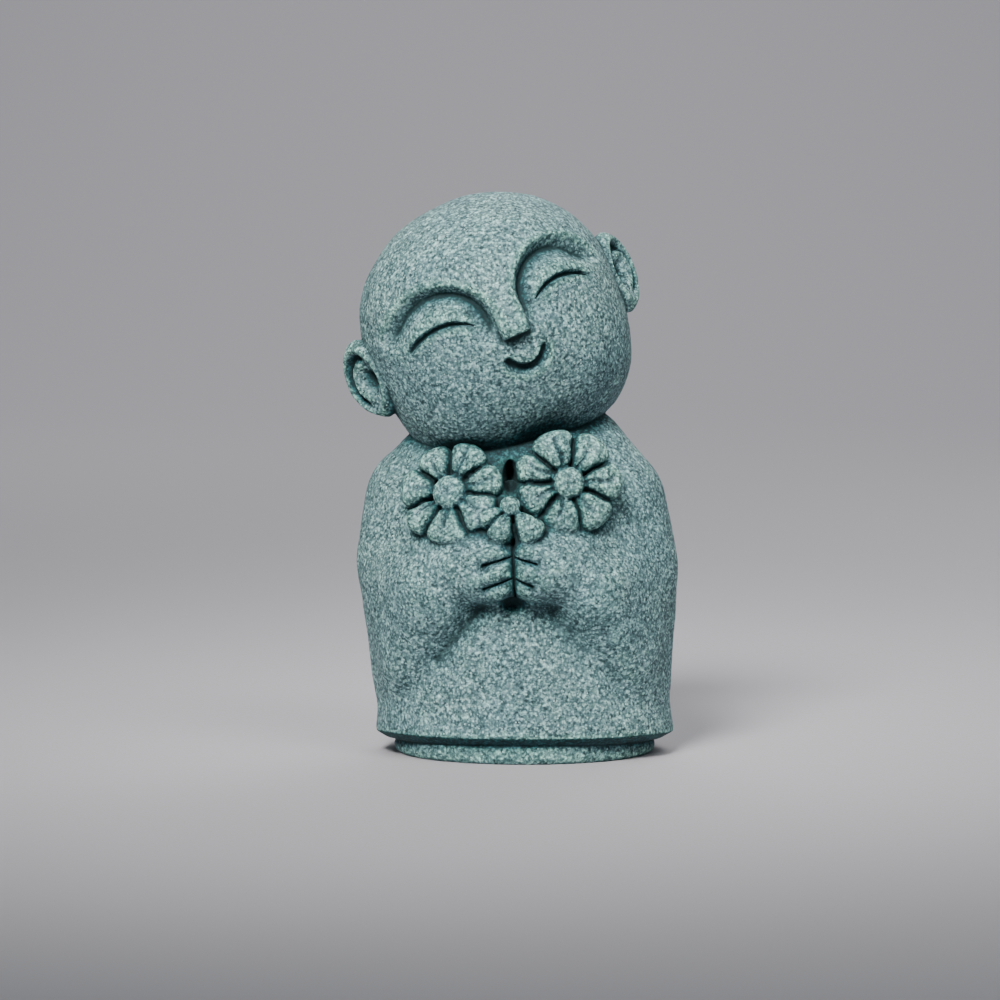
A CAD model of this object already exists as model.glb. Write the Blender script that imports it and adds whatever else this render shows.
"""Looks of the little monk with three flowers, a single casting in blue-grey sand-filled resin.

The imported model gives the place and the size. Each mass of the casting is modelled with its finer carving,
in millimetres over the middle of the foot. All of them are fused into one skin, which is then carved,
grained, thinned, coloured and set in a plain studio.
"""

import logging
import math
from collections.abc import Callable
from dataclasses import dataclass
from enum import Enum

import bmesh
import bpy
import numpy as np
from mathutils import Matrix, Vector, noise


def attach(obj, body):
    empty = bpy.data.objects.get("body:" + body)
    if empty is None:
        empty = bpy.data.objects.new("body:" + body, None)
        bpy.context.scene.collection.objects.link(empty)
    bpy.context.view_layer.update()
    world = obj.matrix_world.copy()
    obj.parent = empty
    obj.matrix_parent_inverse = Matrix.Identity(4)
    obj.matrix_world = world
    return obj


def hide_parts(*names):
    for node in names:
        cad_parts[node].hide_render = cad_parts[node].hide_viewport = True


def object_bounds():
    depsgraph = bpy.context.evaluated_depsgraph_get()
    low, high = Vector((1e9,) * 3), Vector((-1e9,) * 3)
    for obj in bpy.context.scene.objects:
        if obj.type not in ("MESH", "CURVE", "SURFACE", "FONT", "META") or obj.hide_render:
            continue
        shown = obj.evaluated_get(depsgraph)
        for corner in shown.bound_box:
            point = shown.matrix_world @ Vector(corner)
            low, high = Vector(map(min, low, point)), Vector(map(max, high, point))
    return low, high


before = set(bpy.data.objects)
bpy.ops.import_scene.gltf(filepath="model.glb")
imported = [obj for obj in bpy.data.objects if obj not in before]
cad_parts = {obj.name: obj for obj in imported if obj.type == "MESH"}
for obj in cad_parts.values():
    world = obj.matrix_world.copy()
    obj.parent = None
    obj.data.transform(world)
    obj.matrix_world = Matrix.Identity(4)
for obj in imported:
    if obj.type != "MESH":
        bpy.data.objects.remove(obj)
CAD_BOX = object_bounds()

NODE = "monk_figurine"
BODY = "root"
MM = 0.001
CASTING_HEIGHT = 110.19
BASE_HEIGHT = 4.4

Triple = tuple[float, float, float]
Colour = tuple[float, float, float, float]

log = logging.getLogger("monk figurine")


class Side(Enum):
    """The figure's two sides, as the sign of X that each lies on in the picture."""

    LEFT = -1
    RIGHT = 1


def smoothstep(value: np.ndarray | float) -> np.ndarray:
    """Eases a value.

    Args:
        value: Any number or array of numbers.

    Returns:
        0 where the value is below 0, 1 where it is above 1, and an even ease between them.
    """
    t = np.clip(value, 0.0, 1.0)
    return t * t * (3.0 - 2.0 * t)


def new_object(name: str, bm: bmesh.types.BMesh) -> bpy.types.Object:
    """Makes a helper object from a bmesh, with its faces turned outwards.

    Args:
        name: The object's name.
        bm: The geometry, which is freed.

    Returns:
        The object, linked to the scene.
    """
    bmesh.ops.recalc_face_normals(bm, faces=bm.faces)
    mesh = bpy.data.meshes.new(name)
    bm.to_mesh(mesh)
    bm.free()
    obj = bpy.data.objects.new(name, mesh)
    bpy.context.scene.collection.objects.link(obj)
    return obj


def evaluated_mesh(obj: bpy.types.Object) -> bpy.types.Mesh:
    """Reads an object with its modifiers.

    Args:
        obj: The object to read.

    Returns:
        A new mesh, in the object's own frame.
    """
    bpy.context.view_layer.update()
    graph = bpy.context.evaluated_depsgraph_get()
    return bpy.data.meshes.new_from_object(obj.evaluated_get(graph))


def fused(name: str, parts: list[bpy.types.Object], voxel: float, easing: float) -> bpy.types.Object:
    """Puts one closed skin round overlapping parts and removes them.

    Args:
        name: The new object's name.
        parts: The overlapping objects.
        voxel: The skin's grid, in millimetres.
        easing: How far its creases are eased, in millimetres.

    Returns:
        The skin as a plain mesh object at the origin.
    """
    bm = bmesh.new()
    for part in parts:
        mesh = evaluated_mesh(part)
        mesh.transform(part.matrix_world)
        bm.from_mesh(mesh)
        bpy.data.meshes.remove(mesh)
        bpy.data.objects.remove(part)
    obj = new_object(name, bm)
    remesh = obj.modifiers.new("one skin", "REMESH")
    remesh.mode = "VOXEL"
    remesh.voxel_size = voxel
    smooth = obj.modifiers.new("ease", "SMOOTH")
    smooth.factor = 0.5
    smooth.iterations = max(1, round(2.0 * (easing / voxel) ** 2))
    obj.data = evaluated_mesh(obj)
    obj.modifiers.clear()
    return obj


def turned(
    name: str, profile: list[tuple[float, float]], depth: Callable[[float], float]
) -> bpy.types.Object:
    """Turns an outline about the upright axis.

    Args:
        name: The object's name.
        profile: Distances from the axis and heights, from the top down.
        depth: Gives the share of its depth that the form keeps at a height.

    Returns:
        The closed form, flattened from front to back.
    """
    bm = bmesh.new()
    verts = [bm.verts.new((x, 0.0, z)) for x, z in profile]
    for above, below in zip(verts, verts[1:]):
        bm.edges.new((above, below))
    obj = new_object(name, bm)
    screw = obj.modifiers.new("turn", "SCREW")
    screw.steps = screw.render_steps = 128
    screw.use_merge_vertices = True
    screw.merge_threshold = 0.0001
    obj.data = evaluated_mesh(obj)
    obj.modifiers.clear()
    for vert in obj.data.vertices:
        vert.co.y *= depth(vert.co.z)
    return obj


def points_of(mesh: bpy.types.Mesh) -> np.ndarray:
    """Reads a mesh's points.

    Args:
        mesh: The mesh.

    Returns:
        An array with one row of X, Y and Z for each vertex.
    """
    points = np.empty(len(mesh.vertices) * 3, np.float32)
    mesh.vertices.foreach_get("co", points)
    return points.reshape(-1, 3).astype(float)


def set_points(mesh: bpy.types.Mesh, points: np.ndarray) -> None:
    """Writes a mesh's points.

    Args:
        mesh: The mesh to change.
        points: One row of X, Y and Z for each vertex.
    """
    mesh.vertices.foreach_set("co", points.astype(np.float32).ravel())
    mesh.update()


def into_pose(points: np.ndarray, pose: Matrix) -> np.ndarray:
    """Brings points into a pose's own frame.

    Args:
        points: Points in the casting's frame.
        pose: The frame's place in the casting.

    Returns:
        The same points, as the pose's frame sees them.
    """
    into = np.array(pose.inverted())
    return points @ into[:3, :3].T + into[:3, 3]


def out_of_pose(points: np.ndarray, pose: Matrix) -> np.ndarray:
    """Brings points of a pose's own frame back to the casting.

    Args:
        points: Points in the pose's frame.
        pose: The frame's place in the casting.

    Returns:
        The same points in the casting's frame.
    """
    out = np.array(pose)
    return points @ out[:3, :3].T + out[:3, 3]


def carved_line(distance: np.ndarray, width: np.ndarray | float, depth: np.ndarray | float) -> np.ndarray:
    """Gives the depth of a rounded chisel line.

    Args:
        distance: How far each point lies from the line's middle.
        width: The line's width.
        depth: Its full depth.

    Returns:
        The depth of the cut at each point.
    """
    return depth * (1.0 - smoothstep(2.0 * distance / width - 0.25))


def soft_line(
    distance: np.ndarray, width: float, depth: float, shoulder: np.ndarray | float, fall: float
) -> np.ndarray:
    """Gives the depth of a chisel line between two rounded forms.

    Args:
        distance: How far each point lies from the line's middle.
        width: The sharp line's width.
        depth: Its depth below the shoulders.
        shoulder: How far the rounding reaches to each side.
        fall: How far the shoulders fall towards the line.

    Returns:
        The depth of the cut at each point.
    """
    return carved_line(distance, width, depth) + fall * np.exp(-((distance / shoulder) ** 2))


@dataclass(frozen=True)
class Ball:
    """A ball that the cloth is drawn over, with its centre across, forward and up."""

    across: float
    forward: float
    up: float
    radius: float

    def mirrored(self) -> "Ball":
        """Gives the same ball on the other side."""
        return Ball(-self.across, self.forward, self.up, self.radius)


@dataclass(frozen=True)
class Arc:
    """A carved arc on the face. It bulges up where facing is 1, and down where it is -1."""

    across: float
    up: float
    radius: float
    facing: int
    half_angle: float
    width: float
    depth: float
    thinning: float = 0.5
    shallowing: float = 0.4

    def cut(self, x: np.ndarray, z: np.ndarray) -> np.ndarray:
        """Gives the depth of the arc's cut.

        Args:
            x: Places across the face.
            z: Places up the face.

        Returns:
            The depth at each place. The line gets thinner and shallower towards its ends.
        """
        across = x - self.across
        up = self.facing * (z - self.up)
        angle = np.arctan2(across, up)
        limit = math.radians(self.half_angle)
        share = np.clip(np.abs(angle) / limit, 0.0, 1.0)
        beyond = np.maximum(np.abs(angle) - limit, 0.0) * self.radius
        distance = np.hypot(np.hypot(across, up) - self.radius, beyond)
        width = self.width * (1.0 - self.thinning * share**3)
        return carved_line(distance, width, self.depth * (1.0 - self.shallowing * share**3))


@dataclass
class Robe:
    """The robe with its wide sleeves and the hands' plain mass, turned and leant a little."""

    hem_half_width: float = 29.1
    hem_lip_height: float = 2.2
    hem_lip_flare: float = 0.4
    hem_edge: float = -0.2
    hem_run: float = 6.0
    chamfer_run: float = 2.2
    chamfer_drop: float = 1.6
    chamfer_inset: float = 0.095
    underside_share: float = 0.35
    underside_fall: float = 0.1
    front_lift: float = 1.1
    lift_start: float = 0.6
    lift_fade_in: float = 1.6
    lift_end: float = 6.0
    lift_fade_out: float = 8.0
    waist_height: float = 25.6
    waist_half_width: float = 27.3
    neck_height: float = 63.6
    shoulder_squareness: float = 5.4
    chest_roundness: float = 2.0
    depth_share: float = 0.82
    turn: float = -3.6
    lean: float = -0.042
    shoulder: Ball = Ball(15.5, 1.0, 43.1, 14.6)
    raised_shoulder: Ball = Ball(13.0, 2.0, 54.0, 9.9)
    elbow: Ball = Ball(20.8, -2.0, 33.1, 10.9)
    wrist: Ball = Ball(8.6, -20.6, 33.2, 6.9)
    upper_hand: Ball = Ball(2.7, -25.4, 35.0, 3.9)
    lower_hand: Ball = Ball(2.7, -25.6, 31.5, 3.9)
    drape: Ball = Ball(14.8, -17.0, 29.0, 8.4)
    drape_edge: Ball = Ball(20.6, -11.8, 14.6, 6.2)
    drape_tip: Ball = Ball(22.6, -7.6, 4.6, 3.6)
    side: Ball = Ball(21.9, -2.0, 17.6, 8.0)
    low_side: Ball = Ball(21.5, -2.0, 7.6, 7.7)
    voxel: float = 0.6
    easing: float = 2.5

    def pose(self) -> Matrix:
        """Gives the slight turn and lean that the robe, sleeves and hands share.

        Returns:
            Their frame, which stands on the base.
        """
        lean = Matrix.Identity(4)
        lean[0][2] = self.lean
        turn = Matrix.Rotation(math.radians(self.turn), 4, "Z")
        return Matrix.Translation((0.0, 0.0, BASE_HEIGHT)) @ lean @ turn

    def rise(self, height: float) -> float:
        """Gives a height as a share of the way from waist to neck."""
        return (height - self.waist_height) / (self.neck_height - self.waist_height)

    def half_width(self, height: float) -> float:
        """Gives the trunk's half width.

        Args:
            height: Height over the base.

        Returns:
            The half width, with a lip at the hem, nearly straight sides and square shoulders.
        """
        lip = self.hem_lip_flare * math.exp(-((height / (2.0 * self.hem_lip_height)) ** 2))
        if height <= self.waist_height:
            slope = (self.waist_half_width - self.hem_half_width) / self.waist_height
            return self.hem_half_width + slope * height + lip
        fullness = 1.0 - self.rise(height) ** self.shoulder_squareness
        return self.waist_half_width * math.sqrt(max(0.0, fullness))

    def depth_at(self, height: float) -> float:
        """Gives the trunk's depth as a share of its width.

        Args:
            height: Height over the base.

        Returns:
            The share. The chest and back round off sooner than the shoulders.
        """
        rise = min(self.rise(height), 0.999)
        if rise <= 0.0:
            return self.depth_share
        rounding = (1.0 - rise**self.chest_roundness) / (1.0 - rise**self.shoulder_squareness)
        return self.depth_share * math.sqrt(rounding)

    def trunk(self) -> bpy.types.Object:
        """Turns the trunk about its axis and flattens it from front to back.

        Returns:
            The closed trunk, which runs on below the hem.
        """
        rows = 40
        rise = self.neck_height + self.hem_run
        heights = [rise * math.sin(0.5 * math.pi * row / rows) - self.hem_run for row in range(rows + 1)]
        profile = [(self.half_width(z), z) for z in reversed(heights)]
        return turned("trunk", [*profile, (0.0, -self.hem_run)], self.depth_at)

    def hemmed(self, points: np.ndarray) -> np.ndarray:
        """Turns the cloth in under the hem, where it becomes a chamfer and a nearly flat underside.

        Args:
            points: The robe's points, in its own frame.

        Returns:
            The points after the hem is turned in.
        """
        below = np.maximum(self.hem_edge - points[:, 2], 0.0)
        turn = np.clip(below / self.chamfer_run, 0.0, 1.0)
        flat_run = self.hem_run + self.hem_edge - self.chamfer_run
        rest = np.clip((below - self.chamfer_run) / flat_run, 0.0, 1.0)
        share = 1.0 - self.chamfer_inset * turn
        share += (self.underside_share - share) * rest
        hemmed = points * share[:, None]
        low = self.hem_edge - self.chamfer_drop * turn - self.underside_fall * rest
        hemmed[:, 2] = np.where(below > 0.0, low, points[:, 2])
        return hemmed

    def lifted(self, points: np.ndarray) -> np.ndarray:
        """Lifts the hem and the base's top a little at the front.

        Args:
            points: The casting's points.

        Returns:
            The points after the lift, which fades out above the hem and towards the foot.
        """
        x, y, z = points.T
        rise = smoothstep((z - self.lift_start) / self.lift_fade_in)
        rise = rise * (1.0 - smoothstep((z - self.lift_end) / self.lift_fade_out))
        share = np.clip(-y / (self.depth_share * self.hem_half_width), 0.0, 1.0)
        return np.stack([x, y, z + self.front_lift * share * rise], axis=1)

    def cloth_over(self, name: str, balls: list[Ball]) -> bpy.types.Object:
        """Draws cloth tight over a few balls.

        Args:
            name: The object's name.
            balls: The balls inside.

        Returns:
            The tightest closed skin that holds them all.
        """
        bm = bmesh.new()
        for ball in balls:
            place = Matrix.Translation((ball.across, ball.forward, ball.up))
            bmesh.ops.create_uvsphere(bm, u_segments=48, v_segments=28, radius=ball.radius, matrix=place)
        hull = bmesh.ops.convex_hull(bm, input=bm.verts)
        bmesh.ops.delete(bm, geom=list(set(hull["geom_interior"] + hull["geom_unused"])), context="VERTS")
        return new_object(name, bm)

    def sleeves(self) -> list[bpy.types.Object]:
        """Makes the arms with their hands, the drapes below them, and the shoulder the head leans from.

        Returns:
            The forms of both sides, after that one shoulder.
        """
        arm = [self.shoulder, self.elbow, self.wrist, self.upper_hand, self.lower_hand]
        drape = [self.elbow, self.drape, self.drape_edge, self.drape_tip, self.side, self.low_side]
        made = [self.cloth_over("raised_shoulder", [self.shoulder, self.raised_shoulder])]
        for side in Side:
            for name, balls in (("arm", arm), ("drape", drape)):
                placed = balls if side is Side.RIGHT else [ball.mirrored() for ball in balls]
                made.append(self.cloth_over(f"{name}_{side.name.lower()}", placed))
        return made

    def build(self) -> bpy.types.Object:
        """Fuses trunk and sleeves into one soft form.

        Returns:
            The robe, in its place over the base.
        """
        obj = fused("robe", [self.trunk(), *self.sleeves()], self.voxel, self.easing)
        set_points(obj.data, self.hemmed(points_of(obj.data)))
        obj.data.transform(self.pose())
        return obj


@dataclass(frozen=True)
class Crease:
    """A soft fold in the cloth, along places given across and up, with its reach to each side and depth.

    Only points whose Y is below its front are pressed back.
    """

    path: tuple[tuple[float, float], ...]
    shoulder: float
    fall: float
    front: float = -8.0

    def carve(self, points: np.ndarray) -> np.ndarray:
        """Pushes the front of the casting back along the line.

        Args:
            points: The skin's points.

        Returns:
            The points after the carving.
        """
        plan = points[:, [0, 2]]
        away = np.full(len(points), np.inf)
        for start, end in zip(self.path, self.path[1:]):
            run = np.subtract(end, start)
            along = np.clip((plan - start) @ run / (run @ run), 0.0, 1.0)
            away = np.minimum(away, np.linalg.norm(plan - start - along[:, None] * run, axis=1))
        cut = self.fall * np.exp(-((away / self.shoulder) ** 2))
        moved = points.copy()
        moved[:, 1] += np.where(points[:, 1] < self.front, cut, 0.0)
        return moved


@dataclass
class Base:
    """The low oval base that is set in under the hem, with a shallow neck between the two.

    It runs below the foot, where it is cut flat later.
    """

    half_width: float = 25.7
    depth_share: float = 0.88
    top: float = 2.4
    top_rounding: float = 0.6
    foot_rounding: float = 1.5
    neck_inset: float = 1.8
    overlap: float = 2.2
    below_foot: float = 1.0

    def profile(self) -> list[tuple[float, float]]:
        """Lists the base's outline.

        Returns:
            Distances from the axis and heights, from the middle of its top to that of its underside.
        """
        quarter = [0.5 * math.pi * step / 6 for step in range(7)]
        neck = self.half_width - self.neck_inset
        upper = BASE_HEIGHT + self.overlap
        points = [(0.0, upper), (neck, upper), (neck, self.top)]
        inner = self.half_width - self.top_rounding
        for angle in quarter:
            drop = self.top_rounding * (1.0 - math.cos(angle))
            points.append((inner + self.top_rounding * math.sin(angle), self.top - drop))
        inner = self.half_width - self.foot_rounding
        for angle in quarter:
            rise = self.foot_rounding * (1.0 - math.sin(angle))
            points.append((inner + self.foot_rounding * math.cos(angle), rise))
        return [*points, (inner, -self.below_foot), (0.0, -self.below_foot)]

    def build(self) -> bpy.types.Object:
        """Turns the base's outline about its axis and flattens it a little from front to back."""
        return turned("base", self.profile(), lambda height: self.depth_share)


@dataclass
class Head:
    """The large round head with full cheeks, rolled towards one shoulder, and its carved face."""

    across: float = -7.2
    forward: float = -1.0
    height: float = 82.4
    half_width: float = 25.4
    half_depth: float = 24.0
    crown_rise: float = 22.8
    jaw_depth: float = 29.1
    crown_roundness: float = 2.06
    jaw_roundness: float = 2.85
    roll: float = 23.5
    turn: float = 8.5
    left_stretch: float = 1.05
    brow_across: float = 12.6
    brow_up: float = -0.7
    brow_radius: float = 10.3
    brow_depth: float = 2.7
    brow_wall: float = 1.7
    brow_inner_end: float = 0.62
    brow_inner_fade: float = 0.85
    brow_sharpening: float = 0.35
    socket_start: float = 0.7
    socket_reach: float = 5.2
    nose_length: float = 12.0
    nose_tip_height: float = -5.7
    nose_half_width: float = 2.2
    nose_projection: float = 2.1
    nose_tip_ease: float = 0.4
    nose_top_share: float = 1.25
    nose_taper: float = 0.25
    nose_flank: float = 1.3
    skin_share: float = 0.08
    front_share: float = 0.35
    eye: Arc = Arc(12.6, -7.7, 8.9, 1, 42.0, 1.2, 1.2)
    mouth: Arc = Arc(0.45, -8.8, 4.1, -1, 69.0, 2.3, 1.7, thinning=0.2)

    def pose(self) -> Matrix:
        """Gives the head's place over the base.

        Returns:
            The head's own frame, with its roll and turn.
        """
        centre = Matrix.Translation((self.across, self.forward, BASE_HEIGHT + self.height))
        roll = Matrix.Rotation(math.radians(self.roll), 4, Vector((0.0, -1.0, 0.0)))
        return centre @ roll @ Matrix.Rotation(math.radians(self.turn), 4, "Z")

    def outline(self, x: np.ndarray, z: np.ndarray) -> np.ndarray:
        """Gives how near places are to the head's outline from the front.

        Args:
            x: Places across.
            z: Places up, from the head's centre.

        Returns:
            0 at the centre and 1 on the outline.
        """
        height = np.where(z > 0, self.crown_rise, self.jaw_depth)
        power = np.where(z > 0, self.crown_roundness, self.jaw_roundness)
        return (np.abs(x / self.half_width) ** power + np.abs(z / height) ** power) ** (2.0 / power)

    def front(self, x: np.ndarray, z: np.ndarray) -> np.ndarray:
        """Gives the plain head's reach forward at places across and up."""
        return self.half_depth * np.sqrt(np.clip(1.0 - self.outline(x, z), 0.0, 1.0))

    def build(self) -> bpy.types.Object:
        """Draws each direction of a ball out to the head's own outline.

        Returns:
            The plain head in its place.
        """
        bm = bmesh.new()
        bmesh.ops.create_uvsphere(bm, u_segments=192, v_segments=128, radius=1.0)
        obj = new_object("head", bm)
        points = points_of(obj.data)
        x, y, z = points.T
        reach = np.sqrt(self.outline(x, z) + (y / self.half_depth) ** 2)
        set_points(obj.data, points / reach[:, None])
        obj.data.transform(self.pose())
        return obj

    def brow(self, across: np.ndarray, up: np.ndarray) -> np.ndarray:
        """Gives the depth of the eye socket under a brow arch.

        Args:
            across: Places across from the face's middle line, the same on both sides.
            up: Places up.

        Returns:
            A steep wall along the arch, and a floor that rises again to the cheek.
        """
        inside = self.brow_radius - np.hypot(across - self.brow_across, up - self.brow_up)
        floor = 1.0 - smoothstep((inside - self.socket_start * self.brow_wall) / self.socket_reach)
        outer = smoothstep((across - self.brow_across) / self.brow_radius + 0.5)
        end = self.brow_up - self.brow_inner_end * self.brow_radius * (1.0 - outer)
        fade = self.brow_inner_fade - self.brow_sharpening * outer
        lower = smoothstep((up - end) / (fade * self.brow_radius))
        return self.brow_depth * smoothstep(inside / self.brow_wall) * floor * lower

    def nose(self, across: np.ndarray, up: np.ndarray) -> np.ndarray:
        """Gives the height of the nose, which swells between the brows and ends in a square tip.

        Args:
            across: Places across the face.
            up: Places up.

        Returns:
            How far the nose stands out at each place.
        """
        along = (self.nose_tip_height + self.nose_length - up) / self.nose_length
        swell = self.nose_projection * smoothstep(along)
        tip = smoothstep((up - self.nose_tip_height) / (self.nose_tip_ease * self.nose_half_width) + 0.5)
        taper = self.nose_taper * np.clip(along, 0.0, 1.0)
        half_width = self.nose_half_width * (self.nose_top_share - taper)
        side = np.clip(1.0 - (np.abs(across) / (self.nose_flank * half_width)) ** 8, 0.0, 1.0)
        return swell * tip * side

    def carve(self, points: np.ndarray) -> np.ndarray:
        """Carves the face into the casting's skin.

        Args:
            points: The skin's points.

        Returns:
            The points after the carving.
        """
        local = into_pose(points, self.pose())
        x, y, z = local.T
        on_face = np.abs(-self.front(x, z) - y) < self.skin_share * self.half_depth
        on_face = on_face & (y < -self.front_share * self.half_depth)
        across = np.abs(x) / np.where(x < 0, self.left_stretch, 1.0)
        cut = self.brow(across, z) - self.nose(x, z) + self.eye.cut(across, z) + self.mouth.cut(x, z)
        inward = -local / np.linalg.norm(local, axis=1, keepdims=True)
        return out_of_pose(local + inward * (cut * on_face)[:, None], self.pose())


@dataclass
class Ear:
    """A shell-shaped ear: a rim, a trough inside it, a second ridge and a hollow."""

    side: Side
    across: float = 26.6
    forward: float = 0.8
    up: float = -3.0
    half_height: float = 8.2
    half_width: float = 5.8
    front_thickness: float = 1.9
    back_thickness: float = 3.4
    splay: float = 57.0
    lobe_narrowing: float = 0.30
    lobe_tuck: float = 1.3
    rim_height: float = 1.0
    trough_depth: float = 1.3
    ridge_height: float = 0.5
    hollow_depth: float = 2.9

    def front_relief(self, across: np.ndarray, up: np.ndarray) -> np.ndarray:
        """Gives the ear's carving on its front.

        Args:
            across: Places across a round plan of radius 1, away from the head.
            up: Places up the same plan.

        Returns:
            A rim all round, a trough inside its upper and outer part, a ridge, and a hollow near the face.
        """
        reach = np.hypot(across, up)
        bearing = np.degrees(np.arctan2(up, across))
        upper = smoothstep((bearing + 75.0) / 40.0) * smoothstep((130.0 - bearing) / 30.0)
        rim = np.exp(-(((reach - 0.82) / 0.14) ** 2))
        trough = np.exp(-(((reach - 0.60) / 0.10) ** 2)) * upper
        ridge = np.exp(-(((reach - 0.38) / 0.12) ** 2)) * smoothstep((bearing + 110.0) / 40.0)
        hollow = np.exp(-(((across + 0.30) / 0.24) ** 2 + (up / 0.26) ** 2))
        relief = self.rim_height * rim + self.ridge_height * ridge
        return relief - self.trough_depth * trough - self.hollow_depth * hollow

    def build(self, head: Head) -> bpy.types.Object:
        """Makes the ear on its side of the head.

        Args:
            head: The head that carries it.

        Returns:
            The ear in its place.
        """
        bm = bmesh.new()
        bmesh.ops.create_uvsphere(bm, u_segments=128, v_segments=96, radius=1.0)
        obj = new_object(f"ear_{self.side.name.lower()}", bm)
        x, y, z = points_of(obj.data).T
        thickness = np.where(y < 0, self.front_thickness, self.back_thickness) * -y
        thickness += np.where(y < 0, self.front_relief(x, z), 0.0)
        lower = np.maximum(0.0, -z) ** 2
        width = self.half_width * (1.0 - self.lobe_narrowing * lower)
        across = self.side.value * (width * x - self.lobe_tuck * lower)
        set_points(obj.data, np.stack([across, -thickness, self.half_height * z], axis=1))
        place = Matrix.Translation((self.side.value * self.across, self.forward, self.up))
        splay = Matrix.Rotation(math.radians(self.side.value * self.splay), 4, "Z")
        obj.data.transform(head.pose() @ place @ splay)
        if self.side is Side.LEFT:
            obj.data.flip_normals()
        return obj


@dataclass(frozen=True)
class Groove:
    """A groove between two fingers, from the cleft outwards: its height there, length and fall."""

    side: Side
    up: float
    length: float
    slope: float


@dataclass
class Hands:
    """The carving on the hands: the cleft between the palms, and the grooves between the fingers."""

    cleft_across: float = 0.8
    cleft_top: float = 39.4
    cleft_bottom: float = 28.0
    cleft_width: float = 0.65
    cleft_depth: float = 1.8
    groove_width: float = 0.65
    groove_depth: float = 0.9
    groove_start: float = 0.55
    groove_opening: float = 0.6
    shoulder: float = 1.5
    fall: float = 1.3
    grooves: tuple[Groove, ...] = (
        Groove(Side.LEFT, 36.3, 5.8, 0.32),
        Groove(Side.LEFT, 32.2, 5.8, 0.38),
        Groove(Side.RIGHT, 36.1, 4.4, 0.30),
        Groove(Side.RIGHT, 32.1, 3.4, 0.45),
    )

    def carve(self, points: np.ndarray, robe: Robe) -> np.ndarray:
        """Cuts the cleft and grooves straight back into the hands.

        Args:
            points: The skin's points.
            robe: The robe whose hands these are.

        Returns:
            The points after the carving.
        """
        local = into_pose(points, robe.pose())
        x, y, z = local.T
        x = x - self.cleft_across
        hand = robe.lower_hand
        front = smoothstep((hand.forward - y) / (0.4 * hand.radius) + 0.6)
        run = np.maximum(np.maximum(z - self.cleft_top, self.cleft_bottom - z), 0.0)
        cut = soft_line(np.hypot(x, run), self.cleft_width, self.cleft_depth, self.shoulder, self.fall)
        for groove in self.grooves:
            outward = x * groove.side.value
            beyond = np.maximum(outward - groove.length, 0.0) + np.maximum(-outward, 0.0)
            away = np.hypot(z - groove.up + groove.slope * outward, beyond)
            away /= self.groove_start + self.groove_opening * np.clip(outward / groove.length, 0.0, 1.0)
            line = soft_line(away, self.groove_width, self.groove_depth, self.shoulder, self.fall)
            cut = np.maximum(cut, line)
        local[:, 1] += cut * front
        return out_of_pose(local, robe.pose())


@dataclass(frozen=True)
class Pocket:
    """A deep hollow cut straight back: its middle across and up, its half sizes and depth.

    Only points whose Y is below its front are pressed back.
    """

    across: float
    up: float
    half_width: float
    half_height: float
    depth: float
    front: float

    def carve(self, points: np.ndarray) -> np.ndarray:
        """Pushes the front of the casting back inside the pocket's outline.

        Args:
            points: The skin's points.

        Returns:
            The points after the carving.
        """
        x, y, z = points.T
        inside = 1.0 - ((x - self.across) / self.half_width) ** 2 - ((z - self.up) / self.half_height) ** 2
        moved = points.copy()
        moved[:, 1] += np.where(y < self.front, self.depth * smoothstep(inside), 0.0)
        return moved


@dataclass(frozen=True)
class Petal:
    """One petal: its bearing and breadth in degrees, its length as a share of the usual, and its crease."""

    bearing: float
    breadth: float
    reach: float = 1.0
    crease_offset: float = 0.0
    crease_end: float = 0.62


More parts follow.
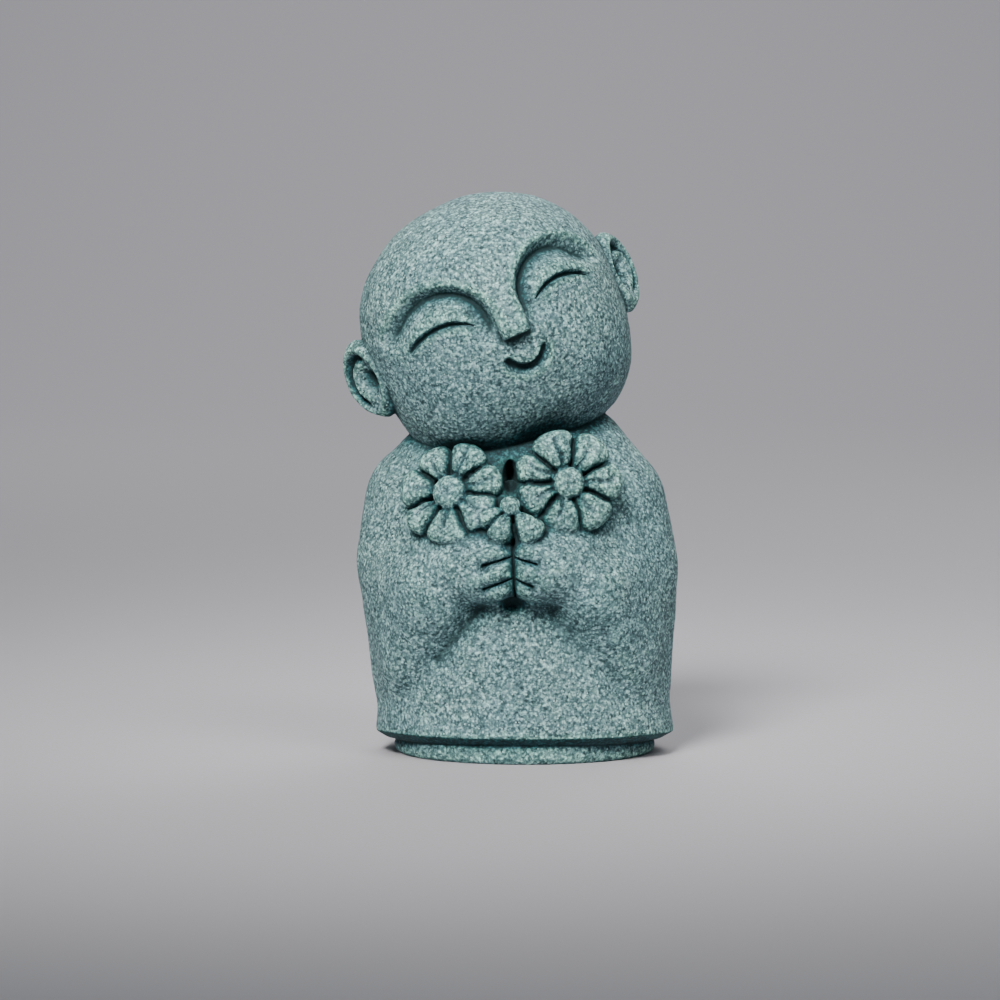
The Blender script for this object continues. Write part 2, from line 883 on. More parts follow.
@dataclass
class Daisy:
    """A daisy laid on the robe. Its petals are one petal's form, repeated round the middle button."""

    name: str
    across: float
    up: float
    radius: float
    disc_radius: float
    standing: float
    plan: tuple[Petal, ...]
    aside: float
    back: float
    seed: int = 1
    tilt_scatter: float = 0.07
    size_scatter: float = 0.02
    breadth: float = 51.4
    petal_start: float = 0.7
    petal_widest: float = 0.72
    thickness: float = 4.0
    flatness: float = 0.75
    droop: float = 0.9
    gap_width: float = 0.65
    gap_depth: float = 1.6
    gap_shoulder: float = 0.35
    gap_opening: float = 0.05
    crease_width: float = 0.6
    crease_depth: float = 0.9
    crease_shoulder: float = 0.7
    fall: float = 0.5
    ring_reach: float = 1.05
    ring_depth: float = 1.1
    wobble: float = 0.16
    disc_height_share: float = 0.78
    bed_depth: float = 9.0
    bed_drop: float = 1.3
    bed_share: float = 0.72
    voxel: float = 0.25
    easing: float = 0.18

    def petal(self) -> bpy.types.Object:
        """Makes one petal.

        Returns:
            A plump wedge along +X with a round tip.
        """
        bm = bmesh.new()
        bmesh.ops.create_uvsphere(bm, u_segments=48, v_segments=36, radius=1.0)
        obj = new_object(f"{self.name}_petal", bm)
        x, y, z = points_of(obj.data).T
        start = self.petal_start * self.disc_radius
        length = self.radius - start
        along = 0.5 * (x + 1.0)
        ring = np.maximum(1e-6, np.sqrt(np.clip(1.0 - x**2, 0.0, 1.0)))
        fullness = np.sqrt(np.clip(1.0 - np.abs(x) ** 3.0, 0.0, 1.0)) / ring
        z = np.sign(z) * np.abs(z) ** self.flatness
        opening = math.tan(math.radians(0.5 * self.breadth))
        half_width = opening * (start + np.minimum(along, self.petal_widest) * length)
        height = 0.5 * self.thickness * z * fullness - self.droop * along**2
        set_points(obj.data, np.stack([start + along * length, y * fullness * half_width, height], axis=1))
        return obj

    def place(self, robe: bpy.types.Object) -> Matrix:
        """Finds the flower's frame, a little off the robe's surface.

        Args:
            robe: The finished robe that carries it.

        Returns:
            The frame, whose Z points out of the flower's face.
        """
        ahead = Vector((self.across, -CASTING_HEIGHT, BASE_HEIGHT + self.up))
        _, spot, _, _ = robe.ray_cast(ahead, Vector((0.0, 1.0, 0.0)))
        aside = Matrix.Rotation(math.radians(self.aside), 4, "Z")
        facing = Matrix.Rotation(math.radians(90.0 - self.back), 4, "X")
        return Matrix.Translation(spot + Vector((0.0, -self.standing, 0.0))) @ aside @ facing

    def ray(self, x: np.ndarray, y: np.ndarray, bearing: float, start: float, end: float) -> np.ndarray:
        """Gives the distance from a straight line that runs outwards from the button.

        Args:
            x: Places in the flower's plane.
            y: Places in the flower's plane.
            bearing: The line's bearing in degrees.
            start: Where it starts, from the flower's middle.
            end: Where it ends.

        Returns:
            The distance of each place from the line.
        """
        angle = math.radians(bearing)
        along = x * math.cos(angle) + y * math.sin(angle)
        away = y * math.cos(angle) - x * math.sin(angle)
        beyond = np.maximum(np.maximum(start - along, along - end), 0.0)
        return np.hypot(away, beyond)

    def carve(self, points: np.ndarray) -> np.ndarray:
        """Cuts the gaps between the petals, their creases and the ring round the button.

        Args:
            points: The flower's points, in its own frame.

        Returns:
            The points after the carving.
        """
        x, y, z = points.T
        reach = np.hypot(x, y)
        ring = np.abs(reach - self.ring_reach * self.disc_radius)
        cut = carved_line(ring, self.gap_width, self.ring_depth)
        x = x + self.wobble * np.sin(1.2 * y + self.seed)
        y = y + self.wobble * np.sin(1.5 * x + 2.0 * self.seed)
        opening = self.gap_shoulder + self.gap_opening * reach
        for petal in self.plan:
            for edge in (-0.5, 0.5):
                bearing = petal.bearing + edge * petal.breadth
                gap = self.ray(x, y, bearing, self.disc_radius, 1.2 * self.radius)
                cut = np.maximum(cut, soft_line(gap, self.gap_width, self.gap_depth, opening, self.fall))
            end = self.disc_radius + petal.crease_end * (self.radius - self.disc_radius)
            crease = self.ray(x, y, petal.bearing + petal.crease_offset, self.disc_radius, end)
            line = soft_line(crease, self.crease_width, self.crease_depth, self.crease_shoulder, self.fall)
            cut = np.maximum(cut, line * smoothstep(1.6 - reach / end))
        moved = points.copy()
        moved[:, 2] -= cut * smoothstep(2.0 + z)
        return moved

    def petal_tree(self) -> bpy.types.NodeTree:
        """Builds the node tree that repeats the petal round the button.

        Returns:
            A tree with inputs for the petal, its scatter in angle and in size, the seed and the finish. It
            reads each point's bearing, breadth and reach, and turns and stretches the petal to them.
        """
        tree = bpy.data.node_groups.new(f"{self.name} petals", "GeometryNodeTree")
        for name, kind in (
            ("Geometry", "Geometry"), ("Petal", "Object"), ("Tilt Scatter", "Float"),
            ("Size Scatter", "Float"), ("Seed", "Int"), ("Finish", "Material"),
        ):
            tree.interface.new_socket(name, in_out="INPUT", socket_type=f"NodeSocket{kind}")
        tree.interface.new_socket("Geometry", in_out="OUTPUT", socket_type="NodeSocketGeometry")
        nodes = tree.nodes
        link = tree.links.new
        given = nodes.new("NodeGroupInput")
        result = nodes.new("NodeGroupOutput")
        bearing, breadth, reach = (self.read_node(tree, name) for name in ("bearing", "breadth", "reach"))
        tilt = self.scatter_node(tree, given, "Tilt Scatter", 0.0)
        size = self.scatter_node(tree, given, "Size Scatter", 1.0)
        length = nodes.new("ShaderNodeMath")
        length.operation = "MULTIPLY"
        turn = nodes.new("ShaderNodeCombineXYZ")
        scale = nodes.new("ShaderNodeCombineXYZ")
        scale.inputs["Z"].default_value = 1.0
        petal = nodes.new("GeometryNodeObjectInfo")
        spread = nodes.new("GeometryNodeInstanceOnPoints")
        real = nodes.new("GeometryNodeRealizeInstances")
        finish = nodes.new("GeometryNodeSetMaterial")
        link(given.outputs["Petal"], petal.inputs["Object"])
        link(bearing, turn.inputs["Z"])
        link(tilt, turn.inputs["Y"])
        link(size, length.inputs[0])
        link(reach, length.inputs[1])
        link(length.outputs["Value"], scale.inputs["X"])
        link(breadth, scale.inputs["Y"])
        link(given.outputs["Geometry"], spread.inputs["Points"])
        link(petal.outputs["Geometry"], spread.inputs["Instance"])
        link(turn.outputs["Vector"], spread.inputs["Rotation"])
        link(scale.outputs["Vector"], spread.inputs["Scale"])
        link(spread.outputs["Instances"], real.inputs["Geometry"])
        link(real.outputs["Geometry"], finish.inputs["Geometry"])
        link(given.outputs["Finish"], finish.inputs["Material"])
        link(finish.outputs["Geometry"], result.inputs["Geometry"])
        return tree

    def read_node(self, tree: bpy.types.NodeTree, name: str) -> bpy.types.NodeSocket:
        """Adds a node to the petal tree that reads one number of each point.

        Args:
            tree: The tree.
            name: The number's name.

        Returns:
            The socket that gives it.
        """
        read = tree.nodes.new("GeometryNodeInputNamedAttribute")
        read.data_type = "FLOAT"
        read.inputs["Name"].default_value = name
        return read.outputs["Attribute"]

    def scatter_node(
        self, tree: bpy.types.NodeTree, given: bpy.types.Node, amount: str, middle: float
    ) -> bpy.types.NodeSocket:
        """Adds a seeded random value to the petal tree.

        Args:
            tree: The tree.
            given: Its group input node.
            amount: The name of the input that says how far the value may stray.
            middle: The value that it strays from.

        Returns:
            The socket that gives the value for each petal.
        """
        chance = tree.nodes.new("FunctionNodeRandomValue")
        chance.data_type = "FLOAT"
        chance.inputs[2].default_value = -1.0
        chance.inputs[3].default_value = 1.0
        tree.links.new(given.outputs["Seed"], chance.inputs["Seed"])
        stray = tree.nodes.new("ShaderNodeMath")
        stray.operation = "MULTIPLY_ADD"
        stray.inputs[2].default_value = middle
        tree.links.new(chance.outputs[1], stray.inputs[0])
        tree.links.new(given.outputs[amount], stray.inputs[1])
        return stray.outputs["Value"]

    def petals(self, finish: bpy.types.Material) -> bpy.types.Object:
        """Repeats the petal at each bearing of the flower's plan.

        Args:
            finish: The casting's material.

        Returns:
            The ring of petals as a plain mesh object.
        """
        mesh = bpy.data.meshes.new(self.name)
        mesh.from_pydata([(0.0, 0.0, 0.0)] * len(self.plan), [], [])
        opening = math.tan(math.radians(0.5 * self.breadth))
        numbers = {
            "bearing": [math.radians(petal.bearing) for petal in self.plan],
            "breadth": [math.tan(math.radians(0.5 * petal.breadth)) / opening for petal in self.plan],
            "reach": [petal.reach for petal in self.plan],
        }
        for name, values in numbers.items():
            mesh.attributes.new(name, "FLOAT", "POINT").data.foreach_set("value", values)
        ring = bpy.data.objects.new(self.name, mesh)
        bpy.context.scene.collection.objects.link(ring)
        petal = self.petal()
        tree = self.petal_tree()
        modifier = ring.modifiers.new("petals", "NODES")
        modifier.node_group = tree
        given = {
            "Petal": petal, "Tilt Scatter": self.tilt_scatter, "Size Scatter": self.size_scatter,
            "Seed": self.seed, "Finish": finish,
        }
        for socket in tree.interface.items_tree:
            if socket.in_out == "INPUT" and socket.name in given:
                modifier[socket.identifier] = given[socket.name]
        ring.data = evaluated_mesh(ring)
        ring.modifiers.clear()
        bpy.data.objects.remove(petal)
        return ring

    def button(self) -> bpy.types.Object:
        """Makes the middle button and the bed that runs back into the robe.

        Returns:
            Both as one object. The button is domed but fuller than a ball.
        """
        bm = bmesh.new()
        disc = bmesh.ops.create_uvsphere(bm, u_segments=64, v_segments=40, radius=1.0)
        for vert in disc["verts"]:
            fullness = (abs(vert.co.z) ** 3 + math.hypot(vert.co.x, vert.co.y) ** 3) ** (1.0 / 3.0)
            vert.co *= self.disc_radius / fullness
            vert.co.z *= self.disc_height_share
        bed = self.bed_share * self.radius
        middle = Matrix.Translation((0.0, 0.0, -self.bed_drop - 0.5 * self.bed_depth))
        bmesh.ops.create_cone(
            bm, cap_ends=True, segments=64, radius1=bed, radius2=bed, depth=self.bed_depth, matrix=middle,
        )
        return new_object(f"{self.name}_button", bm)

    def build(self, robe: bpy.types.Object, finish: bpy.types.Material) -> bpy.types.Object:
        """Makes the flower with its carving.

        Args:
            robe: The finished robe that carries it.
            finish: The casting's material.

        Returns:
            The flower in its place.
        """
        flower = fused(self.name, [self.petals(finish), self.button()], self.voxel, self.easing)
        set_points(flower.data, self.carve(points_of(flower.data)))
        flower.data.transform(self.place(robe))
        return flower


def linear(red: int, green: int, blue: int) -> Colour:
    """Turns a colour as a screen shows it into the light values that shaders take.

    Args:
        red: Red from 0 to 255.
        green: Green from 0 to 255.
        blue: Blue from 0 to 255.

    Returns:
        Red, green, blue and a full alpha, from 0 to 1.
    """
    shares = [channel / 255.0 for channel in (red, green, blue)]
    light = [share / 12.92 if share <= 0.04045 else ((share + 0.055) / 1.055) ** 2.4 for share in shares]
    return (*light, 1.0)


class NodeBoard:
    """A material's node tree, with short calls that add its nodes and join them."""

    def __init__(self, name: str) -> None:
        """Makes a material with its usual shader.

        Args:
            name: The material's name.
        """
        self.material = bpy.data.materials.new(name)
        self.material.use_nodes = True
        self.tree = self.material.node_tree
        self.shader = self.tree.nodes["Principled BSDF"]

    def add(self, kind: str, **values: object) -> bpy.types.Node:
        """Adds a node.

        Args:
            kind: The node's type name.
            **values: Its settings, and its input values by socket name with underscores for spaces.

        Returns:
            The new node.
        """
        node = self.tree.nodes.new(kind)
        for name, value in values.items():
            socket = node.inputs.get(name.replace("_", " "))
            if socket is None:
                setattr(node, name, value)
            else:
                socket.default_value = value
        return node

    def join(self, source: bpy.types.NodeSocket, target: bpy.types.NodeSocket) -> None:
        """Links two sockets."""
        self.tree.links.new(source, target)

    def share(
        self, source: bpy.types.NodeSocket, low: float, high: float, start: float = 0.0, end: float = 1.0
    ) -> bpy.types.NodeSocket:
        """Maps a value from one range to another.

        Args:
            source: The value's socket.
            low: The value at which the result starts to change.
            high: The value at which it has changed.
            start: The result at and beyond the low value.
            end: The result at and beyond the high value.

        Returns:
            The result's socket.
        """
        node = self.add("ShaderNodeMapRange", From_Min=low, From_Max=high, To_Min=start, To_Max=end)
        self.join(source, node.inputs["Value"])
        return node.outputs["Result"]

    def ramp(self, factor: bpy.types.NodeSocket, stops: list[tuple[float, Colour]]) -> bpy.types.NodeSocket:
        """Turns a value into a colour.

        Args:
            factor: The value's socket.
            stops: Places from 0 to 1 with their colours, in order.

        Returns:
            The colour's socket.
        """
        node = self.tree.nodes.new("ShaderNodeValToRGB")
        elements = node.color_ramp.elements
        while len(elements) < len(stops):
            elements.new(0.5)
        for element, (place, colour) in zip(elements, stops):
            element.position = place
            element.color = colour
        self.join(factor, node.inputs["Fac"])
        return node.outputs["Color"]

    def mix(
        self, factor: bpy.types.NodeSocket | float, first: bpy.types.NodeSocket, second: object,
        blend: str = "MIX",
    ) -> bpy.types.NodeSocket:
        """Blends two colours.

        Args:
            factor: How much of the second, as a socket or a number.
            first: The first colour's socket.
            second: The second colour, as a socket or four numbers.
            blend: The way that they are blended.

        Returns:
            The blended colour's socket.
        """
        node = self.tree.nodes.new("ShaderNodeMix")
        node.data_type = "RGBA"
        node.blend_type = blend
        sockets = ((factor, node.inputs["Factor"]), (first, node.inputs[6]), (second, node.inputs[7]))
        for value, socket in sockets:
            if isinstance(value, bpy.types.NodeSocket):
                self.join(value, socket)
            else:
                socket.default_value = value
        return node.outputs[2]


@dataclass(frozen=True)
class Sandstone:
    """Resin full of sand: pale and dark grains in a blue-grey binder, and teal colour left in the hollows."""

    grain_size: float = 0.66 * MM
    fine_size: float = 0.56 * MM
    patch_size: float = 16.0 * MM
    bump_height: float = 0.22 * MM
    fine_share: float = 0.55
    bump_strength: float = 0.8
    specular: float = 0.35
    worn: Colour = (1.06, 1.18, 1.06, 1.0)

    def material(self) -> bpy.types.Material:
        """Builds the finish from grains, a slow drift of tone and the hollows' colour.

        Returns:
            The material.
        """
        board = NodeBoard("sandstone resin")
        place = board.add("ShaderNodeTexCoord").outputs["Object"]
        grains = board.add("ShaderNodeTexVoronoi", Scale=1.0 / self.grain_size, Randomness=1.0)
        fine = board.add("ShaderNodeTexNoise", Scale=1.0 / self.fine_size, Detail=3.0, Roughness=0.6)
        patches = board.add("ShaderNodeTexNoise", Scale=1.0 / self.patch_size, Detail=2.0, Roughness=0.5)
        for texture in (grains, fine, patches):
            board.join(place, texture.inputs["Vector"])
        chance = board.add("ShaderNodeSeparateColor")
        board.join(grains.outputs["Color"], chance.inputs["Color"])
        grain_tone = board.ramp(chance.outputs["Red"], [
            (0.0, linear(30, 56, 60)), (0.30, linear(74, 102, 107)), (0.62, linear(106, 137, 141)),
            (0.86, linear(144, 177, 179)), (1.0, linear(208, 252, 252)),
        ])
        hue = board.ramp(chance.outputs["Green"], [
            (0.0, linear(255, 243, 250)), (0.3, linear(246, 250, 252)), (0.7, linear(244, 254, 252)),
            (1.0, linear(246, 255, 240)),
        ])
        grain_tone = board.mix(1.0, grain_tone, hue, "MULTIPLY")
        edges = board.add("ShaderNodeTexVoronoi", feature="DISTANCE_TO_EDGE", Scale=1.0 / self.grain_size)
        board.join(place, edges.inputs["Vector"])
        binder = board.share(edges.outputs["Distance"], 0.0, 0.20, 0.22, 0.0)
        grain_tone = board.mix(binder, grain_tone, linear(30, 64, 69))
        fine_tone = board.ramp(fine.outputs["Fac"], [
            (0.36, linear(12, 38, 42)), (0.44, linear(70, 98, 103)), (0.52, linear(103, 134, 138)),
            (0.58, linear(152, 187, 189)), (0.64, linear(212, 254, 252)),
        ])
        sand = board.mix(self.fine_share, grain_tone, fine_tone)
        middle = board.share(grains.outputs["Distance"], 0.30, 0.12, 0.0, 0.85)
        for low, high, tone in ((0.76, 0.84, linear(222, 255, 253)), (0.24, 0.16, linear(18, 44, 48))):
            speck = board.add("ShaderNodeMath", operation="MULTIPLY")
            board.join(board.share(chance.outputs["Blue"], low, high), speck.inputs[0])
            board.join(middle, speck.inputs[1])
            sand = board.mix(speck.outputs["Value"], sand, tone)
        drift = board.ramp(patches.outputs["Fac"], [
            (0.3, linear(228, 236, 240)), (0.7, linear(255, 255, 252)),
        ])
        sand = board.mix(1.0, sand, drift, "MULTIPLY")
        shelter = board.add("ShaderNodeAttribute", attribute_name="shelter").outputs["Fac"]
        washed = board.mix(1.0, sand, linear(110, 158, 165), "MULTIPLY")
        sand = board.mix(board.share(shelter, 0.17, 0.52), sand, washed)
        hollow = board.add("ShaderNodeAttribute", attribute_name="hollow").outputs["Fac"]
        sand = board.mix(board.share(hollow, 0.05, 0.36, 0.0, 0.92), sand, linear(16, 42, 45))
        sand = board.mix(board.share(shelter, 0.50, 0.80, 0.0, 0.9), sand, linear(14, 38, 41))
        worn = board.mix(1.0, sand, self.worn, "MULTIPLY")
        sand = board.mix(board.share(hollow, -0.04, -0.22), sand, worn)
        board.join(sand, board.shader.inputs["Base Color"])
        gloss = board.share(fine.outputs["Fac"], 0.3, 0.7, 0.72, 0.95)
        board.join(gloss, board.shader.inputs["Roughness"])
        board.shader.inputs["Specular IOR Level"].default_value = self.specular
        relief = board.add("ShaderNodeMath", operation="MULTIPLY_ADD")
        relief.inputs[1].default_value = -0.5
        board.join(grains.outputs["Distance"], relief.inputs[0])
        board.join(fine.outputs["Fac"], relief.inputs[2])
        bump = board.add("ShaderNodeBump", Strength=self.bump_strength, Distance=self.bump_height)
        board.join(relief.outputs["Value"], bump.inputs["Height"])
        board.join(bump.outputs["Normal"], board.shader.inputs["Normal"])
        return board.material


class Neighbours:
    """Which points of a mesh are joined by edges, for easing values over its surface."""

    def __init__(self, mesh: bpy.types.Mesh) -> None:
        """Reads a mesh's edges.

        Args:
            mesh: The mesh.
        """
        edges = np.empty(len(mesh.edges) * 2, np.int32)
        mesh.edges.foreach_get("vertices", edges)
        self.ends = np.concatenate([edges[0::2], edges[1::2]])
        self.others = np.concatenate([edges[1::2], edges[0::2]])
        self.count = len(mesh.vertices)
        self.number = np.bincount(self.ends, minlength=self.count)

    def eased(self, values: np.ndarray, rounds: int) -> np.ndarray:
        """Moves each value half-way to the mean of its neighbours, again and again.

        Args:
            values: One value for each point.
            rounds: How often it is done.

        Returns:
            The eased values.
        """
        for _ in range(rounds):
            total = np.bincount(self.ends, values[self.others], minlength=self.count)
            values = 0.5 * (values + total / self.number)
        return values


@dataclass
class Skin:
    """What is done to the fused casting: its grain, the hollows' record, a flat foot and thinning."""

    voxel: float = 0.26
    easing: float = 0.26
    triangles: int = 192000
    coarse_size: float = 2.2
    coarse_depth: float = 0.05
    fine_size: float = 1.0
    fine_depth: float = 0.05
    lump_size: float = 6.5
    lump_depth: float = 0.22
    hollow_rounds: int = 60
    sky_directions: int = 64
    sky_lowest: float = -0.45
    sky_grid: float = 0.8
    sky_slack: float = 1.2
    sky_rounds: int = 16
    hem_height: float = 5.8
    hem_shade: float = 0.68
    foot_height: float = 1.6
    foot_ease: float = 0.6
    down_start: float = 0.15
    down_ease: float = 0.3
    bare_foot: float = 0.3

    def grained(self, points: np.ndarray, normals: np.ndarray) -> np.ndarray:
        """Roughens the surface as sand does.

        Args:
            points: The skin's points.
            normals: Its outward directions.

        Returns:
            The points, moved in and out by broad lumps, a coarse and a fine grain, except near the foot.
        """
        grain = np.empty(len(points))
        for index, point in enumerate(points):
            place = Vector(point)
            grain[index] = (
                self.lump_depth * noise.noise(place / self.lump_size)
                + self.coarse_depth * noise.noise(place / self.coarse_size)
                + self.fine_depth * noise.noise(place / self.fine_size)
            )
        grain *= smoothstep(points[:, 2] - self.bare_foot)
        return points + normals * grain[:, None]

    def hollows(self, near: Neighbours, points: np.ndarray, normals: np.ndarray) -> np.ndarray:
        """Finds how far each point lies below the skin's own smoothed surface.

        Args:
            near: The skin's neighbours.
            points: Its points.
            normals: Its outward directions.

        Returns:
            The depth of each point's hollow in millimetres, below zero on ridges.
        """
        eased = np.stack([near.eased(points[:, axis], self.hollow_rounds) for axis in range(3)], axis=1)
        return ((eased - points) * normals).sum(axis=1)

    def shelter(self, near: Neighbours, points: np.ndarray, normals: np.ndarray) -> np.ndarray:
        """Finds how much of the open space round the casting each point doesn't see.

        For each of many directions the points are dropped into square cells across it, and only those near
        the front of their cell see out that way.

        Args:
            near: The skin's neighbours.
            points: Its points.
            normals: Its outward directions.

        Returns:
            0 in the open and 1 where nothing is seen. The chamfer under the hem counts as well hidden.
        """
        seen = np.zeros(len(points))
        whole = np.full(len(points), 1e-6)
        golden = math.pi * (3.0 - math.sqrt(5.0))
        for step in range(self.sky_directions):
            up = 1.0 - (1.0 - self.sky_lowest) * (step + 0.5) / self.sky_directions
            ring = math.sqrt(1.0 - up * up)
            toward = Vector((ring * math.cos(golden * step), ring * math.sin(golden * step), up))
            across = toward.orthogonal().normalized()
            plan = points @ np.array([across, toward.cross(across)]).T
            column, row = np.floor((plan - plan.min(axis=0)) / self.sky_grid).astype(int).T
            cell = column * (row.max() + 1) + row
            height = points @ np.array(toward)
            front = np.full(cell.max() + 1, -np.inf)
            np.maximum.at(front, cell, height)
            facing = np.clip(normals @ np.array(toward), 0.0, None)
            whole += facing
            seen += np.where(height > front[cell] - self.sky_slack, facing, 0.0)
        z = points[:, 2]
        under_hem = smoothstep(self.hem_height - z) * smoothstep((z - self.foot_height) / self.foot_ease)
        under_hem *= smoothstep((-normals[:, 2] - self.down_start) / self.down_ease)
        return np.maximum(near.eased(1.0 - seen / whole, self.sky_rounds), self.hem_shade * under_hem)

    def normals_of(self, mesh: bpy.types.Mesh) -> np.ndarray:
        """Reads the skin's outward directions.

        Args:
            mesh: The skin.

        Returns:
            One row of X, Y and Z for each vertex.
        """
        normals = np.empty(len(mesh.vertices) * 3, np.float32)
        mesh.vertex_normals.foreach_get("vector", normals)
        return normals.reshape(-1, 3).astype(float)

    def cut_foot(self, mesh: bpy.types.Mesh) -> None:
        """Cuts the casting flat at height 0 and closes it.

        Args:
            mesh: The skin to cut.
        """
        bm = bmesh.new()
        bm.from_mesh(mesh)
        parts = bm.verts[:] + bm.edges[:] + bm.faces[:]
        cut = bmesh.ops.bisect_plane(
            bm, geom=parts, plane_co=(0.0, 0.0, 0.0), plane_no=(0.0, 0.0, -1.0), clear_outer=True,
        )
        rim = [item for item in cut["geom_cut"] if isinstance(item, bmesh.types.BMEdge)]
        bmesh.ops.contextual_create(bm, geom=rim)
        bmesh.ops.triangulate(bm, faces=bm.faces)
        bm.to_mesh(mesh)
        bm.free()

    def thin(self, obj: bpy.types.Object) -> None:
        """Thins the skin to its number of triangles.

        Args:
            obj: The casting, whose mesh is replaced.
        """
        modifier = obj.modifiers.new("thin", "DECIMATE")
        modifier.ratio = self.triangles / len(obj.data.polygons)
        obj.data = evaluated_mesh(obj)
        obj.modifiers.clear()


@dataclass
class Figurine:
    """The whole casting, from its sub-assemblies to the dressed piece."""

    robe: Robe
    base: Base
    head: Head
    ears: list[Ear]
    hands: Hands
    daisies: list[Daisy]
    pockets: list[Pocket]
    creases: list[Crease]
    skin: Skin

    def forms(self, finish: bpy.types.Material) -> list[bpy.types.Object]:
        """Builds every form of the casting.

        Args:
            finish: The casting's material.

        Returns:
            The overlapping forms, each in its place.
        """
        robe = self.robe.build()
        made = [robe, self.base.build(), self.head.build()]
        made += [ear.build(self.head) for ear in self.ears]
        made += [daisy.build(robe, finish) for daisy in self.daisies]
        for part in made:
            log.info("%s: %d faces", part.name, len(part.data.polygons))
        return made

    def carve(self, points: np.ndarray) -> np.ndarray:
        """Cuts the face, hands, pockets and creases into the skin.

        Args:
            points: The skin's points.

        Returns:
            The points after the carving.
        """
        points = self.robe.lifted(self.hands.carve(self.head.carve(points), self.robe))
        for cut in (*self.pockets, *self.creases):
            points = cut.carve(points)
        return points

    def build(self, finish: bpy.types.Material) -> bpy.types.Object:
        """Fuses, carves, grains and thins the casting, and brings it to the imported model's size.

        Args:
            finish: The casting's material.

        Returns:
            The piece, in metres at the origin.
        """
        obj = fused("monk_casting", self.forms(finish), self.skin.voxel, self.skin.easing)
        mesh = obj.data
        points = self.carve(points_of(mesh))
        set_points(mesh, points)
        normals = self.skin.normals_of(mesh)
        near = Neighbours(mesh)
        for name, values in (
            ("hollow", self.skin.hollows(near, points, normals)),
            ("shelter", self.skin.shelter(near, points, normals)),
        ):
            mesh.attributes.new(name, "FLOAT", "POINT").data.foreach_set("value", values.astype(np.float32))
        set_points(mesh, self.skin.grained(points, normals))
        self.skin.cut_foot(mesh)
        self.skin.thin(obj)
        scale = (CAD_BOX[1][2] - CAD_BOX[0][2]) / CASTING_HEIGHT
        obj.data.transform(Matrix.Scale(scale, 4))
        obj.data.materials.clear()
        obj.data.materials.append(finish)
        obj.data.shade_smooth()
        log.info("casting: %d triangles", len(obj.data.polygons))
        return obj


@dataclass(frozen=True)
class Lamp:
    """A soft square light: its place, the point that it faces, its size, power and beam."""

    name: str
    place: Triple
    target: Triple
    size: float
    power: float
    spread: float = 180.0
    colour: Triple = (1.0, 1.0, 1.0)

    def build(self) -> None:
        """Sets the lamp up."""
        data = bpy.data.lights.new(self.name, "AREA")
        data.energy = self.power
        data.size = self.size
        data.color = self.colour
        data.spread = math.radians(self.spread)
        lamp = bpy.data.objects.new(self.name, data)
        lamp.location = self.place
        lamp.rotation_euler = (Vector(self.target) - lamp.location).to_track_quat("-Z", "Y").to_euler()
        bpy.context.scene.collection.objects.link(lamp)


@dataclass
class Studio:
    """A pale floor that sweeps up behind the figure, soft light and the camera."""

    target: Triple = (-4.9 * MM, 0.0, 49.6 * MM)
    camera_distance: float = 800.0 * MM
    camera_elevation: float = 4.0
    lens: float = 146.2
    floor_colour: tuple[int, int, int] = (182, 178, 184)
    floor_roughness: float = 0.9
    floor_reach: float = 6.0
    sweep_start: float = 1.2
    sweep_radius: float = 0.5
    wall_height: float = 5.0
    world_colour: tuple[int, int, int] = (206, 230, 232)
    world_strength: float = 0.22
    lamps: tuple[Lamp, ...] = (
        Lamp("key", (-0.15, -0.46, 0.46), (0.0, 0.0, 0.082), 0.20, 0.43, 40.0, (1.0, 0.985, 0.95)),
        Lamp("fill", (0.30, -0.42, 0.68), (0.012, 0.0, 0.095), 0.40, 0.185, 40.0, (1.0, 0.985, 0.96)),
        Lamp("rim", (0.35, 0.55, 0.60), (0.0, 0.0, 0.050), 0.40, 1.5),
        Lamp("backdrop", (0.0, 1.10, 1.10), (0.0, 1.05, 0.0), 0.90, 10.0),
    )

    def floor(self) -> bpy.types.Object:
        """Makes the floor.

        Returns:
            A sheet that curves up into a wall behind.
        """
        far, radius, side = self.sweep_start, self.sweep_radius, self.floor_reach
        profile = [(-side, 0.0), (far, 0.0)]
        for step in range(1, 17):
            angle = 0.5 * math.pi * step / 16
            profile.append((far + radius * math.sin(angle), radius * (1.0 - math.cos(angle))))
        profile.append((far + radius, self.wall_height))
        bm = bmesh.new()
        rows = [[bm.verts.new((x, y, z)) for x in (-side, side)] for y, z in profile]
        for (a, b), (c, d) in zip(rows, rows[1:]):
            bm.faces.new((a, b, d, c))
        obj = new_object("studio_floor", bm)
        board = NodeBoard("studio paper")
        board.shader.inputs["Base Color"].default_value = linear(*self.floor_colour)
        board.shader.inputs["Roughness"].default_value = self.floor_roughness
        obj.data.materials.append(board.material)
        obj.data.shade_smooth()
        return obj

    def camera(self) -> None:
        """Sets the camera up at the photograph's viewing angle."""
        data = bpy.data.cameras.new("camera")
        data.lens = self.lens
        data.sensor_width = 36.0
        camera = bpy.data.objects.new("camera", data)
        angle = math.radians(self.camera_elevation)
        target = Vector(self.target)
        camera.location = target + self.camera_distance * Vector((0.0, -math.cos(angle), math.sin(angle)))
        camera.rotation_euler = (target - camera.location).to_track_quat("-Z", "Y").to_euler()
        bpy.context.scene.collection.objects.link(camera)
        bpy.context.scene.camera = camera

    def build(self) -> None:
        """Sets up the floor, the lamps, the world and the camera."""
        self.floor()
        for lamp in self.lamps:
            lamp.build()
        world = bpy.data.worlds.new("soft room light")
        world.use_nodes = True
        background = world.node_tree.nodes["Background"]
        background.inputs["Color"].default_value = linear(*self.world_colour)
        background.inputs["Strength"].default_value = self.world_strength
        bpy.context.scene.world = world
        self.camera()


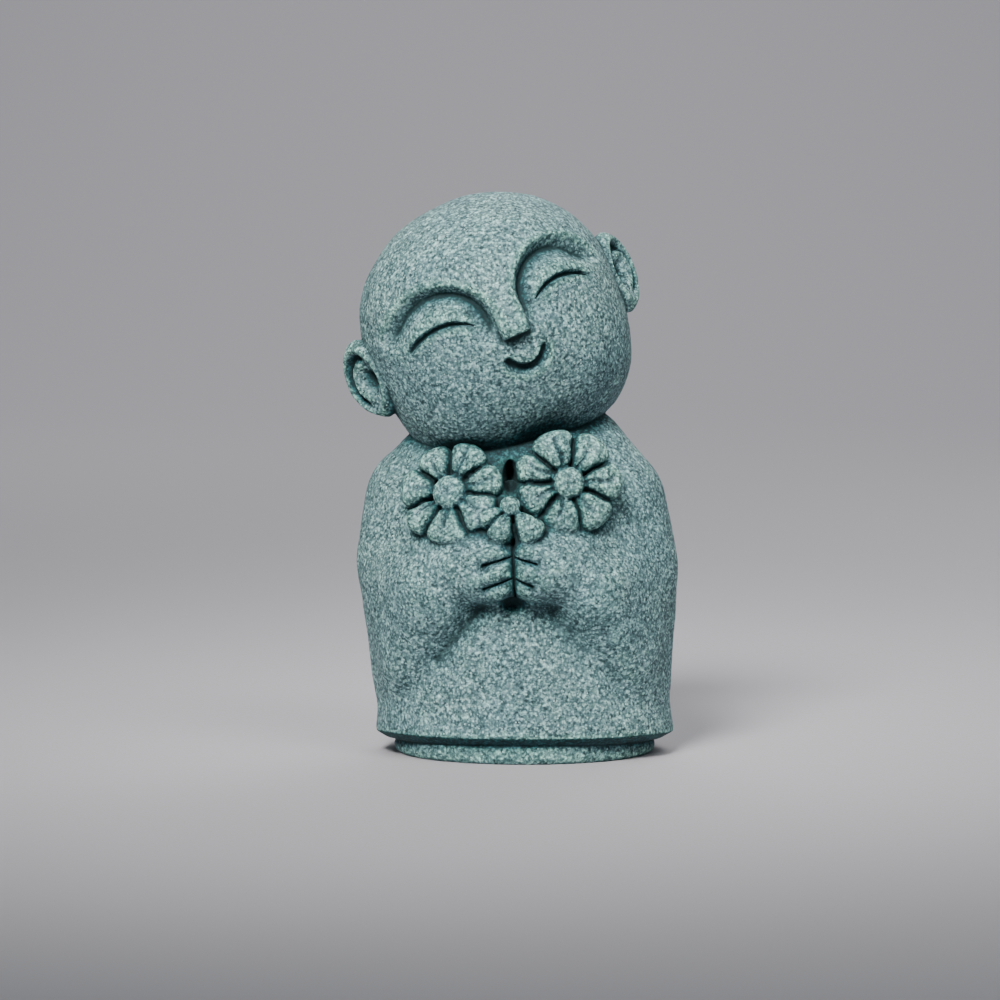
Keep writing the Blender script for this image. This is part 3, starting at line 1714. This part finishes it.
def flowers() -> list[Daisy]:
    """Lists the flowers.

    Returns:
        The two large daisies, and the small one between and below them.
    """
    left = Daisy("flower_left", -14.3, 48.0, 10.3, 3.5, 4.5, aside=-21.0, back=19.0, seed=3, plan=(
        Petal(21.5, 47.0, crease_offset=-2.0, crease_end=0.8),
        Petal(71.5, 53.0, crease_offset=2.0, crease_end=0.8),
        Petal(123.0, 50.0, crease_offset=4.0, crease_end=0.45),
        Petal(174.0, 52.0, reach=1.04, crease_end=0.4),
        Petal(221.0, 42.0, reach=1.04, crease_offset=-6.0),
        Petal(271.0, 58.0, crease_end=0.55),
        Petal(329.0, 58.0, reach=0.94, crease_end=0.45),
    ))
    right = Daisy("flower_right", 8.2, 49.9, 10.7, 3.2, 5.4, aside=6.0, back=11.0, seed=5, plan=(
        Petal(3.0, 50.0, crease_end=0.75),
        Petal(54.5, 53.0, crease_offset=5.0, crease_end=0.5),
        Petal(109.5, 57.0, crease_offset=-3.0, crease_end=0.75),
        Petal(158.5, 41.0, crease_offset=-4.0, crease_end=0.7),
        Petal(203.5, 49.0, reach=0.94, crease_end=0.4),
        Petal(257.5, 59.0, reach=0.88, crease_offset=-6.0, crease_end=0.5),
        Petal(312.5, 51.0, reach=0.96, crease_offset=-6.0, crease_end=0.55),
    ))
    small = Daisy("flower_small", -2.9, 45.6, 7.6, 2.1, 5.2, aside=-2.0, back=24.0, seed=7, plan=(
        Petal(205.0, 40.0, reach=0.9, crease_end=0.3),
        Petal(252.0, 54.0, crease_end=0.35),
        Petal(309.0, 56.0, reach=1.12, crease_end=0.4),
    ), disc_height_share=0.6)
    return [left, right, small]


def main() -> None:
    """Builds the casting and the studio round it."""
    logging.basicConfig(level=logging.INFO, format="%(name)s: %(message)s")
    finish = Sandstone().material()
    pockets = [
        Pocket(-2.9, 55.2, 1.7, 3.6, 4.2, -8.0),
        Pocket(-2.8, 54.6, 1.2, 2.6, 3.0, -4.0),
        Pocket(-2.3, 31.6, 3.0, 2.0, 1.1, -20.0),
    ]
    creases = [
        Crease(((-8.5, 30.2), (-14.0, 23.5), (-16.6, 20.0)), 1.4, 0.85),
        Crease(((5.0, 29.8), (10.2, 21.0)), 2.4, 0.8),
        Crease(((20.0, 33.0), (24.0, 15.0)), 2.2, 0.55),
        Crease(((14.5, 25.0), (19.0, 10.0)), 2.0, 0.4),
    ]
    figurine = Figurine(
        Robe(), Base(), Head(), [Ear(side) for side in Side], Hands(), flowers(), pockets, creases, Skin()
    )
    casting = figurine.build(finish)
    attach(casting, BODY)
    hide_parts(NODE)
    Studio().build()


if __name__ == "__main__":
    main()
